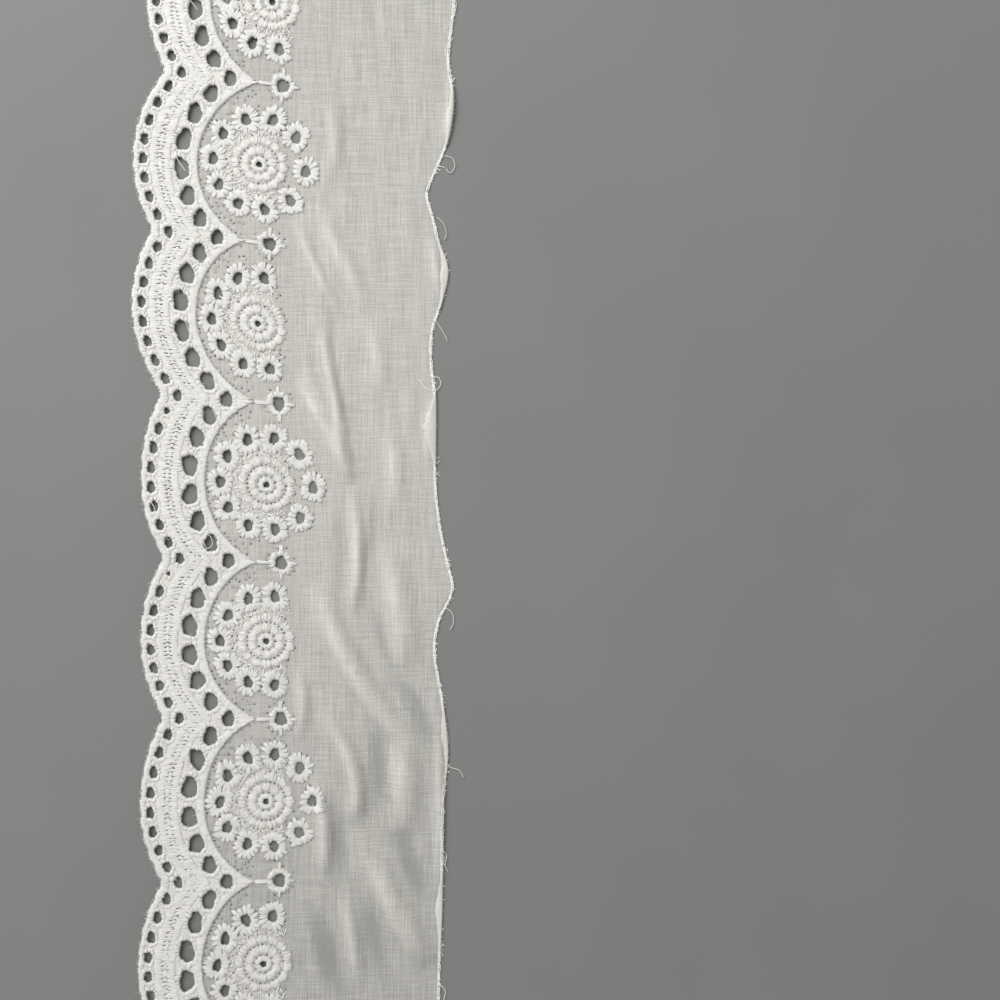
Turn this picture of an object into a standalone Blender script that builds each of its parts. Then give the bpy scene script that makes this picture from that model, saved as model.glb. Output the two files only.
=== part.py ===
"""A cut length of broderie anglaise edging, lying on a surface.

One strip of white cotton lawn. Its left edge is scalloped and thick with satin stitch, and
three rows of eyelets and a row of flowers are cut and worked inside it. The right edge is
raw. The strip is seven scallops long. Metres, +Z up, the strip runs along Y and rests on
z = 0, with the origin under the middle of its box.
"""

import math

import bmesh
import bpy
from mathutils.geometry import delaunay_2d_cdt

MM = 0.001

# Driving sizes of the pattern. Across is measured from the line of the flowers' centres,
# positive towards the raw edge, and along from the middle flower, positive to +Y.
PITCH = 54.15 * MM
SCALLOPS = 7
FLOWER_LINE_X = -10.2 * MM

# The middle of the strip's box, which becomes the origin.
BOX_MIDDLE_X = 0.2 * MM
BOX_MIDDLE_Y = -1.3 * MM

# Thickness of the plain lawn and of the stitched places.
LAWN = 1.0 * MM
RIM = 1.45 * MM
ROSETTE = 1.6 * MM
BAND = 1.7 * MM

# The arcs of one scallop: radius, and how far right of the flower's centre its centre lies.
EDGE_RADIUS = 50.6 * MM
EDGE_CENTRE = 8.2 * MM
SMALL_RADIUS = 41.6 * MM
SMALL_CENTRE = 2.4 * MM
LARGE_RADIUS = 33.8 * MM
LARGE_CENTRE = 7.6 * MM
SATIN_RADIUS = 29.0 * MM
SATIN_SLOPE = 0.8 * MM
SATIN_REACH = 63.0
SATIN_STEPS = 10
VALLEY_POINT = -2.9 * MM

# Eyelets: size across and along the row they stand in, and the sides of their outline.
SMALL_EYELET = (3.1 * MM, 4.0 * MM)
LARGE_EYELET = (5.5 * MM, 7.9 * MM)
VALLEY_EYELET = (4.7 * MM, 5.4 * MM)
PETAL_EYELET = (3.3 * MM, 4.3 * MM)
CONNECTOR_EYELET = (4.1 * MM, 4.6 * MM)
ROSETTE_EYELET = (2.1 * MM, 2.1 * MM)
SMALL_STEPS = 9
LARGE_ANGLES = (-39.0, -24.4, -8.3, 8.3, 24.4, 39.0)
LARGE_SIDES = 10
EYELET_SIDES = 8
ROSETTE_SIDES = 6
EYELET_WOBBLE = 0.05

# The flowers: petals stand on a ring about the rosette. Flowers with all ten petals take
# turns with flowers that lack the three on the plain side.
PETAL_RING = 15.6 * MM
PETAL_RIM = 4.2 * MM
PETAL_TURN = 20.0
NEAR_PETALS = (180.0, 146.5, -146.5, 113.0, -113.0, 79.5, -79.5)
FAR_PETALS = (44.0, 0.0, -44.0)
ROSETTE_TOP = 7.6 * MM
ROSETTE_FOOT = 8.8 * MM
ROSETTE_CORNERS = 10
CONNECTOR_ACROSS = 4.9 * MM

# How the strip lies, at stations given in pitches from the middle flower: its sideways
# shift, its lengthways shift (mm) and the slope of its cross threads.
LIE = (
    # station, across, along, slope
    (-3.6, 0.0, 0.0, -0.020),
    (-3.0, 0.1, -0.1, -0.030),
    (-2.5, 0.4, 0.8, -0.020),
    (-2.0, 0.9, 0.5, -0.010),
    (-1.5, 0.9, 1.4, 0.010),
    (-1.0, 1.0, 0.6, 0.010),
    (-0.5, 1.0, 0.2, 0.045),
    (0.0, 1.1, -0.7, 0.065),
    (0.5, 0.2, 0.1, 0.080),
    (1.0, -1.8, -0.4, 0.105),
    (1.5, -2.8, 0.1, 0.120),
    (2.0, -1.4, -0.8, 0.140),
    (2.5, 1.6, -0.4, 0.125),
    (3.0, 3.0, 0.0, 0.090),
    (3.6, 2.6, 0.0, 0.050),
)

# The raw edge, torn by hand and frayed: place along the strip and across it (mm).
RAW_EDGE = (
    # y, x
    (-193.0, 50.4),
    (-172.0, 49.8),
    (-142.0, 50.7),
    (-108.0, 51.3),
    (-91.0, 52.6),
    (-74.0, 50.9),
    (-57.0, 48.3),
    (-47.0, 49.8),
    (-36.5, 54.4),
    (-27.0, 52.6),
    (-16.0, 50.3),
    (0.0, 48.6),
    (28.0, 48.5),
    (41.0, 47.2),
    (51.5, 47.6),
    (61.5, 50.8),
    (72.0, 52.6),
    (82.0, 49.5),
    (90.0, 47.6),
    (97.5, 45.8),
    (106.0, 48.8),
    (116.0, 52.8),
    (129.5, 54.6),
    (143.0, 53.0),
    (163.0, 54.9),
    (194.0, 53.6),
)
RAW_EDGE_STEP = 7.6 * MM

# The two ends are cut with scissors: how far the cut leans, and its corners.
CUT_LEAN = 0.04
CUT_STEPS = 7
SCALLOP_STEPS = 11

# The main folds in the plain cloth: each is a soft ridge through three places (mm).
FOLDS = (
    # start x, start y, middle x, middle y, end x, end y, height, half width
    (12.5, 135.0, 15.9, 117.0, 13.6, 100.0, 1.3, 5.0),
    (0.6, 90.0, 8.4, 70.5, 17.2, 52.0, 1.3, 3.4),
    (7.4, 101.0, 16.6, 77.0, 27.5, 57.0, 1.7, 5.0),
    (10.5, 52.0, 13.2, 41.0, 15.2, 28.0, 1.6, 4.2),
    (4.0, 36.0, 12.2, 15.3, 20.5, 2.0, 2.2, 5.0),
    (20.0, -3.0, 22.2, -27.0, 20.6, -43.0, 2.3, 5.0),
    (9.5, -36.0, 22.0, -66.0, 47.5, -97.0, 3.2, 6.5),
    (31.5, -24.0, 37.3, -44.0, 38.5, -58.0, 2.2, 6.5),
    (10.2, -78.0, 22.0, -99.0, 20.0, -112.0, 2.1, 5.5),
    (2.0, -64.0, 4.7, -75.3, 1.8, -84.0, 1.1, 3.4),
    (25.0, -124.0, 38.0, -146.0, 47.0, -162.0, 2.6, 6.5),
)
FOLD_STATIONS = 6
FOLD_STEPS = 12
FOLD_PROFILE = (-1.0, -0.5, 0.0, 0.5, 1.0)

# The plain cloth also has corners on a grid, in columns counted from the middle, and no two
# corners stand closer together than half the clearance.
GRID = 15.0 * MM
PLAIN_COLUMNS = (2, 3)
CLEARANCE = 1.3 * MM

WHITE_COTTON = (0.68, 0.67, 0.65, 1.0)


def between(rows, at, column):
    """The value of a table's column at a place between its rows, on a smooth curve."""
    last = len(rows) - 2
    row = 0
    while row < last and rows[row + 1][0] < at:
        row += 1
    before, start, end, after = (rows[max(0, min(len(rows) - 1, row + k))] for k in (-1, 0, 1, 2))
    length = end[0] - start[0]
    t = max(0.0, min(1.0, (at - start[0]) / length))
    slope_in = (end[column] - before[column]) / (end[0] - before[0]) * length
    slope_out = (after[column] - start[column]) / (after[0] - start[0]) * length
    return (
        (2 * t**3 - 3 * t**2 + 1) * start[column]
        + (t**3 - 2 * t**2 + t) * slope_in
        + (3 * t**2 - 2 * t**3) * end[column]
        + (t**3 - t**2) * slope_out
    )


def lie(across, along):
    """Where a place in the pattern comes to lie on the surface."""
    station = along / PITCH
    x = FLOWER_LINE_X + across + between(LIE, station, 1) * MM
    y = along + between(LIE, station, 2) * MM
    return x, y - between(LIE, station, 3) * across


def raw_edge(y):
    return between(RAW_EDGE, y / MM, 1) * MM


def uneven(number):
    """A fixed value from -1 to 1, different for each number, for what was worked by hand."""
    return math.sin(number * 12.9898 + 4.1414 * math.sin(number * 78.233))


def fold_height(x, y):
    """How far the folds lift the underside of the cloth at one place."""
    height = 0.0
    for fold in FOLDS:
        gap, t = nearest_on_fold(fold, x, y)
        side = gap / (fold[7] * MM)
        if side < 1.0:
            taper = math.sin(math.pi * t) ** 0.7
            height += fold[6] * MM * taper * (1 + math.cos(math.pi * side)) / 2
    return height


def nearest_on_fold(fold, x, y):
    """The gap from a place to a fold's ridge, and how far along the ridge that is."""
    nearest = (math.inf, 0.0)
    for step in range(FOLD_STEPS):
        ax, ay = fold_centre(fold, step / FOLD_STEPS)
        bx, by = fold_centre(fold, (step + 1) / FOLD_STEPS)
        run_x, run_y = bx - ax, by - ay
        share = ((x - ax) * run_x + (y - ay) * run_y) / (run_x**2 + run_y**2)
        share = max(0.0, min(1.0, share))
        gap = math.hypot(x - ax - share * run_x, y - ay - share * run_y)
        nearest = min(nearest, (gap, (step + share) / FOLD_STEPS))
    return nearest


def fold_centre(fold, t):
    """A place on a fold's ridge, from its start at 0 to its end at 1."""
    sx, sy, mx, my, ex, ey = (value * MM for value in fold[:6])
    a, b, c = (1 - t) * (1 - 2 * t), 4 * t * (1 - t), t * (2 * t - 1)
    return a * sx + b * mx + c * ex, a * sy + b * my + c * ey


def arc(centre, radius, angle):
    """A place on one of a scallop's arcs: 0 degrees points straight out from the strip."""
    return centre - radius * math.cos(math.radians(angle)), radius * math.sin(math.radians(angle))


def half_angle(radius):
    return math.degrees(math.asin(PITCH / 2 / radius))


def eyelet(across, along, size, turn, sides):
    """An eyelet's corners in the pattern: an ellipse with its own small unevenness."""
    corners = []
    for corner in range(sides):
        angle = math.tau * (corner + 0.5) / sides
        wobble = 1 + EYELET_WOBBLE * uneven(across / MM + 3 * along / MM + corner)
        a = size[0] / 2 * math.cos(angle) * wobble
        b = size[1] / 2 * math.sin(angle) * wobble
        c, s = math.cos(math.radians(turn)), math.sin(math.radians(turn))
        corners.append((across + a * c - b * s, along + a * s + b * c))
    return corners


def ring(across, along, radius, corners):
    steps = (math.tau * corner / corners for corner in range(corners))
    return [(across + radius * math.cos(a), along + radius * math.sin(a)) for a in steps]


def flower_places(index):
    """The rosette and the petals of one flower, in the pattern."""
    along = index * PITCH
    angles = NEAR_PETALS + (FAR_PETALS if index % 2 == 0 else ())
    steps = (math.radians(angle) for angle in angles)
    return (0.0, along), [
        (PETAL_RING * math.cos(a), along + PETAL_RING * math.sin(a)) for a in steps
    ]


def eyelets_and_rings():
    """Every hole as (corners, thickness at its rim), and every other raised or flat place."""
    holes = []
    places = []
    half = SCALLOPS // 2
    large_half = half_angle(LARGE_RADIUS)
    small_half = half_angle(SMALL_RADIUS)
    for index in range(-half, half + 1):
        along = index * PITCH
        for angle in LARGE_ANGLES:
            a, b = arc(LARGE_CENTRE, LARGE_RADIUS, angle)
            share = math.cos(math.radians(90 * angle / large_half))
            size = [v + (m - v) * share for v, m in zip(VALLEY_EYELET, LARGE_EYELET)]
            holes.append((eyelet(a, along + b, size, -angle, LARGE_SIDES), BAND))
        for step in range(1, SMALL_STEPS):
            angle = -small_half + 2 * small_half * step / SMALL_STEPS
            a, b = arc(SMALL_CENTRE, SMALL_RADIUS, angle)
            holes.append((eyelet(a, along + b, SMALL_EYELET, -angle, EYELET_SIDES), BAND))
        rosette, petals = flower_places(index)
        holes.append((eyelet(*rosette, ROSETTE_EYELET, 0, ROSETTE_SIDES), ROSETTE))
        places += [(p, ROSETTE) for p in ring(*rosette, ROSETTE_TOP, ROSETTE_CORNERS)]
        places += [(p, LAWN) for p in ring(*rosette, ROSETTE_FOOT, ROSETTE_CORNERS)]
        for petal in petals:
            turn = PETAL_TURN * uneven(petal[1] / MM)
            holes.append((eyelet(*petal, PETAL_EYELET, turn, EYELET_SIDES), RIM))
            places += [(p, LAWN) for p in ring(*petal, PETAL_RIM, EYELET_SIDES)]
        places += satin_edge(along)
    for index in range(-half, half):
        along = (index + 0.5) * PITCH
        large_valley = LARGE_CENTRE - LARGE_RADIUS * math.cos(math.radians(large_half))
        small_valley = SMALL_CENTRE - SMALL_RADIUS * math.cos(math.radians(small_half))
        holes.append((eyelet(large_valley, along, VALLEY_EYELET, 0, LARGE_SIDES), BAND))
        holes.append((eyelet(small_valley, along, SMALL_EYELET, 0, EYELET_SIDES), BAND))
        holes.append((eyelet(CONNECTOR_ACROSS, along, CONNECTOR_EYELET, 0, EYELET_SIDES), RIM))
        places += [(p, LAWN) for p in ring(CONNECTOR_ACROSS, along, PETAL_RIM, EYELET_SIDES)]
        places.append(((VALLEY_POINT, along), LAWN))
    return holes, places


def satin_edge(along):
    """The step where the thick band ends: its top and its foot, round one scallop."""
    places = []
    for step in range(SATIN_STEPS + 1):
        angle = -SATIN_REACH + 2 * SATIN_REACH * step / SATIN_STEPS
        for radius, thickness in ((SATIN_RADIUS, BAND), (SATIN_RADIUS - SATIN_SLOPE, LAWN)):
            a, b = arc(LARGE_CENTRE, radius, angle)
            places.append(((a, along + b), thickness))
    return places


def straight(start, end, steps):
    """The corners between two places on a straight line, without its ends."""
    shares = (step / steps for step in range(1, steps))
    return [(start[0] + t * (end[0] - start[0]), start[1] + t * (end[1] - start[1])) for t in shares]


def cut_end(corner):
    """Where a scissor cut that starts at a corner of the scalloped edge meets the raw edge."""
    x = raw_edge(corner[1])
    return x, corner[1] - CUT_LEAN * (x - corner[0])


def outline():
    """The strip's outline on the surface: scalloped edge, cut end, raw edge, cut end."""
    half = SCALLOPS // 2
    reach = half_angle(EDGE_RADIUS)
    scallops = []
    for index in range(-half, half + 1):
        for step in range(SCALLOP_STEPS + (index == half)):
            a, b = arc(EDGE_CENTRE, EDGE_RADIUS, -reach + 2 * reach * step / SCALLOP_STEPS)
            scallops.append(lie(a, index * PITCH + b))
    bottom, top = scallops[0], scallops[-1]
    raw_top, raw_bottom = cut_end(top), cut_end(bottom)
    count = round((raw_top[1] - raw_bottom[1]) / RAW_EDGE_STEP)
    drop = (raw_top[1] - raw_bottom[1]) / count
    plain = straight(top, raw_top, CUT_STEPS)
    plain.append(raw_top)
    for step in range(1, count):
        y = raw_top[1] - step * drop
        plain.append((raw_edge(y), y))
    plain.append(raw_bottom)
    plain += straight(raw_bottom, bottom, CUT_STEPS)
    return [(corner, BAND) for corner in scallops] + [(corner, LAWN) for corner in plain]


def fold_places():
    """The crest, the slopes and the feet of every fold, on the surface."""
    places = []
    for fold in FOLDS:
        for station in range(FOLD_STATIONS + 1):
            t = station / FOLD_STATIONS
            x, y = fold_centre(fold, t)
            ahead_x, ahead_y = fold_centre(fold, min(1.0, t + 0.02))
            behind_x, behind_y = fold_centre(fold, max(0.0, t - 0.02))
            run = math.hypot(ahead_x - behind_x, ahead_y - behind_y)
            side_x, side_y = (behind_y - ahead_y) / run, (ahead_x - behind_x) / run
            tip = station in (0, FOLD_STATIONS)
            for share in (0.0,) if tip else FOLD_PROFILE:
                reach = share * fold[7] * MM
                places.append(((x + side_x * reach, y + side_y * reach), LAWN))
    return places


def inside(point, corners):
    """Whether a place lies inside a closed outline."""
    hit = False
    for (ax, ay), (bx, by) in zip(corners, corners[1:] + corners[:1]):
        if (ay > point[1]) != (by > point[1]):
            hit ^= point[0] < ax + (point[1] - ay) * (bx - ax) / (by - ay)
    return hit


def cloth_surface():
    """The underside of the strip as one open mesh, with each corner's thickness."""
    edge = outline()
    edge_points = [place for place, _ in edge]
    holes, places = eyelets_and_rings()
    corners = list(edge)
    loops = [range(len(edge))]
    for hole, thickness in holes:
        loops.append(range(len(corners), len(corners) + len(hole)))
        corners += [(lie(*corner), thickness) for corner in hole]
    fixed = [place for place, _ in corners]
    hole_outlines = [[fixed[k] for k in loop] for loop in loops[1:]]
    free = [(lie(*place), thickness) for place, thickness in places] + fold_places()
    half = SCALLOPS // 2
    for row in range(round(-half * PITCH / GRID) - 1, round(half * PITCH / GRID) + 2):
        free += [((column * GRID, row * GRID), LAWN) for column in PLAIN_COLUMNS]
    for place, thickness in free:
        near = [p for p in fixed if abs(p[1] - place[1]) < CLEARANCE and abs(p[0] - place[0]) < CLEARANCE]
        if any(math.hypot(p[0] - place[0], p[1] - place[1]) < CLEARANCE / 2 for p in near):
            continue
        if not inside(place, edge_points):
            continue
        if any(inside(place, hole) for hole in hole_outlines):
            continue
        fixed.append(place)
        corners.append((place, thickness))
    edges = [(loop[k - 1], loop[k]) for loop in loops for k in range(len(loop))]
    found = delaunay_2d_cdt(fixed, edges, [], 1, 1e-7)
    points, triangles, origins = found[0], found[2], found[3]
    first_of = [origin[0] for origin in origins]
    hole_of = {}
    for number, loop in enumerate(loops[1:]):
        hole_of.update((corner, number) for corner in loop)
    kept = []
    for triangle in triangles:
        owners = {hole_of.get(first_of[corner], -1) for corner in triangle}
        if len(owners) > 1 or -1 in owners:
            kept.append(triangle)
    return points, kept, [corners[first][1] for first in first_of]


def collection(name):
    made = bpy.data.collections.new(name)
    bpy.context.scene.collection.children.link(made)
    return made


def cotton():
    """White cotton, plain lawn and stitching alike."""
    material = bpy.data.materials.new("white_cotton")
    material.use_nodes = True
    shader = material.node_tree.nodes["Principled BSDF"]
    shader.inputs["Base Color"].default_value = WHITE_COTTON
    shader.inputs["Roughness"].default_value = 0.9
    shader.inputs["Metallic"].default_value = 0.0
    return material


def lace_trim(parts):
    """The strip: an open surface on its folds, thickened upwards by its own build-up."""
    points, triangles, thickness = cloth_surface()
    mesh = bpy.data.meshes.new("lace_trim")
    body = bmesh.new()
    corners = []
    for x, y in points:
        corners.append(body.verts.new((x - BOX_MIDDLE_X, y - BOX_MIDDLE_Y, fold_height(x, y))))
    for triangle in triangles:
        body.faces.new([corners[k] for k in triangle])
    body.to_mesh(mesh)
    body.free()
    trim = bpy.data.objects.new("lace_trim", mesh)
    parts.objects.link(trim)
    build_up = trim.vertex_groups.new(name="build_up")
    for corner, amount in enumerate(thickness):
        build_up.add([corner], amount / BAND, "REPLACE")
    solidify = trim.modifiers.new("thickness", "SOLIDIFY")
    solidify.thickness = BAND
    solidify.offset = 1.0
    solidify.vertex_group = "build_up"
    solidify.use_rim = True
    mesh.materials.append(cotton())
    return trim


for old in list(bpy.data.objects):
    bpy.data.objects.remove(old, do_unlink=True)

lace_trim(collection("lace_trim"))
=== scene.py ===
"""A cut length of broderie anglaise edging: its cloth, stitches and frayed edge, and the light."""

import math
from collections import namedtuple

import bpy
import numpy as np
from mathutils.geometry import delaunay_2d_cdt
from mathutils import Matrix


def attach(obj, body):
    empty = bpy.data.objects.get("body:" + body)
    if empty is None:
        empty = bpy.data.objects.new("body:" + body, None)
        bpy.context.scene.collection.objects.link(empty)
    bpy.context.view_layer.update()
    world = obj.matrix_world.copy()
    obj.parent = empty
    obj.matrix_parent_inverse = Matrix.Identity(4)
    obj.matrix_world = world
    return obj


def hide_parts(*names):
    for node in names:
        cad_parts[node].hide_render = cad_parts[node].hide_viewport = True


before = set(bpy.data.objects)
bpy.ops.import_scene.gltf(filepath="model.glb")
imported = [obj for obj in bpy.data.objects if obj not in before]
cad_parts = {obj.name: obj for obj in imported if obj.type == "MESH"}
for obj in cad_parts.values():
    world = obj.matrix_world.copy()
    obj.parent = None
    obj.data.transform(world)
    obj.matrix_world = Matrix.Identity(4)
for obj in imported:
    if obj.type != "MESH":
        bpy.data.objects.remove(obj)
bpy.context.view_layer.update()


# The cloth. A strip of white cotton lawn, a thin and slightly sheer plain weave. Its left side
# is cut to the scallops, its right side is torn and raw, and every eyelet is punched through
# it. It lies on the surface in soft folds. All sizes here are millimetres.
MM = 0.001
PITCH = 54.15
SCALLOPS = range(-3, 4)
VALLEYS = [index + 0.5 for index in SCALLOPS[:-1]]
# The line through the flowers, and the middle of the strip's box, which is the origin.
FLOWER_LINE_X = -9.75
BOX_MIDDLE = (0.2, -1.3)
LAWN_THICKNESS = 0.3
BAND_THICKNESS = 0.6
REST_HEIGHT = 0.03

# How the strip lies, at stations counted in scallops: its shift across, its shift along and
# the slope of its cross threads.
LIE = (
    (-3.6, 0.0, -0.3, -0.020), (-3.0, 0.1, -0.4, -0.030),
    (-2.5, 0.4, 0.5, -0.020), (-2.0, 0.9, 0.2, -0.010),
    (-1.5, 0.9, 1.1, 0.010), (-1.0, 1.0, 0.3, 0.010),
    (-0.5, 1.0, -0.1, 0.045), (0.0, 1.1, -1.0, 0.065),
    (0.5, 0.2, -0.2, 0.080), (1.0, -1.8, -0.7, 0.105),
    (1.5, -2.8, -0.2, 0.120), (2.0, -1.4, -1.1, 0.140),
    (2.5, 1.6, -0.7, 0.125), (3.0, 3.0, -0.3, 0.090),
    (3.6, 2.6, -0.3, 0.050),
)

# The raw edge: place along the strip and across it.
RAW_EDGE = (
    (-193, 50.4), (-172, 49.8), (-142, 50.7), (-108, 51.3), (-91, 52.6),
    (-74, 50.9), (-57, 48.3), (-47, 49.8), (-36.5, 54.4), (-27, 52.6),
    (-16, 50.3), (0, 48.6), (28, 48.5), (41, 47.2), (51.5, 47.6),
    (61.5, 50.8), (72, 52.6), (82, 49.5), (90, 47.6), (97.5, 45.8),
    (106, 48.8), (116, 52.8), (129.5, 54.6), (143, 53), (163, 54.9),
    (194, 53.6),
)

# The folds and creases through three places each: start, middle, end, height and half width.
# Where the height is negative the row is a trough that does not lower the cloth; it is only painted
# shade, the cloth drawn more open so that the grey surface shows more.
FOLDS = (
    (13.5, 138, 17.2, 118, 13.2, 94, -0.5, 2.6),
    (10.6, 130, 13.9, 116, 10.6, 98, 0.5, 3.2),
    (0.4, 91, 7.8, 72, 16.6, 55, 1.2, 3),
    (7.4, 96, 15.6, 77, 26.5, 57, 1.1, 5),
    (9.6, 54, 12.4, 38, 16.4, 19, 1.3, 3),
    (4.6, 38, 13.2, 15.3, 22, 0, 1.7, 4.6),
    (19.6, -1, 22.2, -24, 20.2, -45, 1.8, 3.4),
    (8, -33, 22, -66, 47.5, -97, 2.9, 6.4),
    (30, -20, 36.6, -44, 37.8, -64, 1.7, 7),
    (9.2, -76, 21, -99, 19.4, -116, 2, 4.4),
    (0.6, -62, 3.4, -75.3, 1, -88, 1, 3.4),
    (21, -118, 35.6, -146, 46, -164, 2.5, 7),
    (14.2, 31, 16.4, 16, 19.6, -2, 1.1, 3),
    (1.4, 35, 6.8, 25.5, 12.6, 15, 0.9, 2.6),
    (7.6, -98, 10.8, -118, 9.6, -136, 1.5, 4),
    (35, -88, 38, -103, 38.6, -120, 2.3, 7.4),
    (17, -140, 20.3, -155, 23, -172, 1.3, 4),
    (30, 20, 34, 4, 33, -14, 0.8, 5),
    (24, 58, 28, 44, 29, 28, 0.7, 4),
    (53, 138, 53.4, 126, 50.8, 112, 0.8, 2.6),
    (46.4, 84, 48.3, 73, 50, 62, 0.7, 2.6),
    (47.6, 31, 45.8, 18, 47, 4, 0.9, 2.4),
    (48.6, -72, 50, -110, 48.8, -142, 0.9, 2.6),
    (25, -78, 29, -96, 28, -116, -1.5, 7),
    (33, -114, 39.5, -128, 45.5, -146, -2, 6.5),
    (33, -62, 41.5, -77, 49.5, -94, -2, 6),
    (5, -140, 11.5, -159, 15, -180, -1.8, 7),
    (24, -136, 26.8, -152, 31, -172, -1.4, 6),
    (13, -104, 15.4, -122, 15, -140, -1.3, 5),
    (27, -36, 29.4, -52, 36, -66, -0.7, 4),
    (12, -4, 16, -22, 14.8, -44, -0.6, 3.4),
    (9.6, 70, 12.6, 56, 14, 40, -0.5, 2.6),
    (13, 40, 16.4, 27, 20, 12, -0.5, 2.4),
    (26, -2, 27, -16, 25.2, -34, -0.6, 2.8),
)
FOLD_STEPS = 12
FOLD_LIFT = 1.45
# Besides its folds the cloth's sheerness is set whiter about one place along the strip and greyer
# towards both ends, with no change to its shape.
LENGTHWISE_TONE = 0.35
WHITEST_AT = 20.0
LENGTHWISE_REACH = 240.0
# The stitched band stands higher than the lawn beyond this slope, unevenly along the strip.
BAND_RISE = 0.85
BAND_FOOT = 1.0
BAND_SLOPE = 12.0
BAND_ROLL = 0.35
# Fine ripples in the lawn: their height, where they begin, the run over which they grow, and
# the run beside the raw edge over which they die down, to what share.
RIPPLE = 0.09
RIPPLE_FOOT = -6.0
RIPPLE_RUN = 20.0
EDGE_RUN = 8.0
EDGE_SHARE = 0.25

# The pattern: the arcs of one scallop as radius and middle, and eyelet sizes across and along.
EDGE = (50.6, 8.2)
SMALL_ROW = (41.6, 2.4)
LARGE_ROW = (33.8, 7.6)
SATIN_RADIUS = 29.0
SATIN_REACH = 63.0
SATIN_BULGE = 0.75
LARGE_ANGLES = (-39.0, -24.4, -8.3, 8.3, 24.4, 39.0)
SMALL_STEPS = 9
SMALL_EYELET = (2.9, 3.8)
LARGE_EYELET = (5.1, 7.3)
VALLEY_EYELET = (4.4, 5.1)
PETAL_EYELET = (3.2, 4.2)
CONNECTOR_EYELET = (4.1, 4.6)
ROSETTE_EYELET = (2.1, 2.1)
CONNECTOR_ACROSS = 4.9
PETAL_RING = 15.6
# How many leaves stand in the two rings of a rosette, and the circles of their feet.
LEAVES = (10, 14)
LEAF_FEET = (3.0, 6.5)
NEAR_PETALS = (180.0, 146.5, -146.5, 113.0, -113.0, 79.5, -79.5)
FAR_PETALS = (44.0, 0.0, -44.0)
PETAL_TURN = 20.0
EYELET_TURN = 15.0
SMALL_LEAN = -0.4
# Lobes of an eyelet's uneven edge: how many round it, how high as a share of its size, and
# how each follows the eyelet's own two phases. Its sides are a little fuller than an ellipse.
LOBES = ((2, 0.05, 1, 0), (3, 0.065, 0, 1), (5, 0.045, 7, 0), (8, 0.02, 0, 1))
SIDE_POWER = 0.88
# Two small eyelets, as scallop and place in its row, that the stitches nearly close.
NEARLY_CLOSED = {(0, 8): 0.62, (-1, 8): 0.4}

# The ladder between the two rows of eyelets: its outer and inner arc, its rows of stitches in
# each scallop, and how far a row strays along it, as a share of half a scallop.
LADDER_OUTER = (38.9, 2.4)
LADDER_INNER = (37.3, 7.6)
LADDER_ROWS = 132
ROW_STRAY = 0.0022
# Rows with two slits, with one and with none take turns: the places of their slits as shares
# of the ladder's width, and the share of them that is open.
SLIT_COLUMNS = (0.34, 0.6)
SLITS = ((SLIT_COLUMNS, 0.92), ((0.47,), 0.6), ((), 0.0))
# A slit strays, is so long to each side, and lies nowhere near the ladder's narrow ends. Its
# half height is in millimetres, and its shoulders are shares of its length.
SLIT_STRAY = 0.045
SLIT_HALF_LENGTH = (0.055, 0.1)
SLIT_REACH = 0.97
SLIT_HALF_HEIGHT = 0.16
SLIT_SHOULDERS = (0.22, 0.78)


def between(rows, at, column):
    """A table's column at places between its rows, on a smooth curve."""
    rows = np.array(rows)
    place, value = rows[:, 0], rows[:, column]
    last = len(rows) - 1
    after = np.minimum(np.arange(last + 1) + 1, last)
    before = np.maximum(np.arange(last + 1) - 1, 0)
    slope = (value[after] - value[before]) / (place[after] - place[before])
    row = np.clip(np.searchsorted(place, at) - 1, 0, last - 1)
    length = place[row + 1] - place[row]
    t = np.clip((at - place[row]) / length, 0.0, 1.0)
    return (
        (2 * t**3 - 3 * t**2 + 1) * value[row]
        + (t**3 - 2 * t**2 + t) * slope[row] * length
        + (3 * t**2 - 2 * t**3) * value[row + 1]
        + (t**3 - t**2) * slope[row + 1] * length
    )


def lie(places):
    """Where places in the pattern come to lie on the surface."""
    across, along = places[..., 0], places[..., 1]
    station = along / PITCH
    x = FLOWER_LINE_X + across + between(LIE, station, 1)
    y = along + between(LIE, station, 2) - between(LIE, station, 3) * across
    return np.stack((x, y), axis=-1)


def arc(radius, middle, degrees, index=0):
    """Places on one of a scallop's arcs: 0 degrees points straight out from the strip."""
    turn = np.radians(degrees)
    along = radius * np.sin(turn) + index * PITCH
    return np.stack((middle - radius * np.cos(turn), along), axis=-1)


def flower(index):
    """The middle of one scallop's flower in the pattern."""
    return np.array((0.0, index * PITCH))


def half_angle(radius):
    return math.degrees(math.asin(PITCH / 2 / radius))


def uneven(number):
    """A fixed value from -1 to 1, different for each number, for what was worked by hand."""
    return math.sin(number * 12.9898 + 4.1414 * math.sin(number * 78.233))


def fold_centre(fold, t):
    a, b, c = (1 - t) * (1 - 2 * t), 4 * t * (1 - t), t * (2 * t - 1)
    sx, sy, mx, my, ex, ey = fold[:6]
    return np.array((a * sx + b * mx + c * ex, a * sy + b * my + c * ey))


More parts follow.
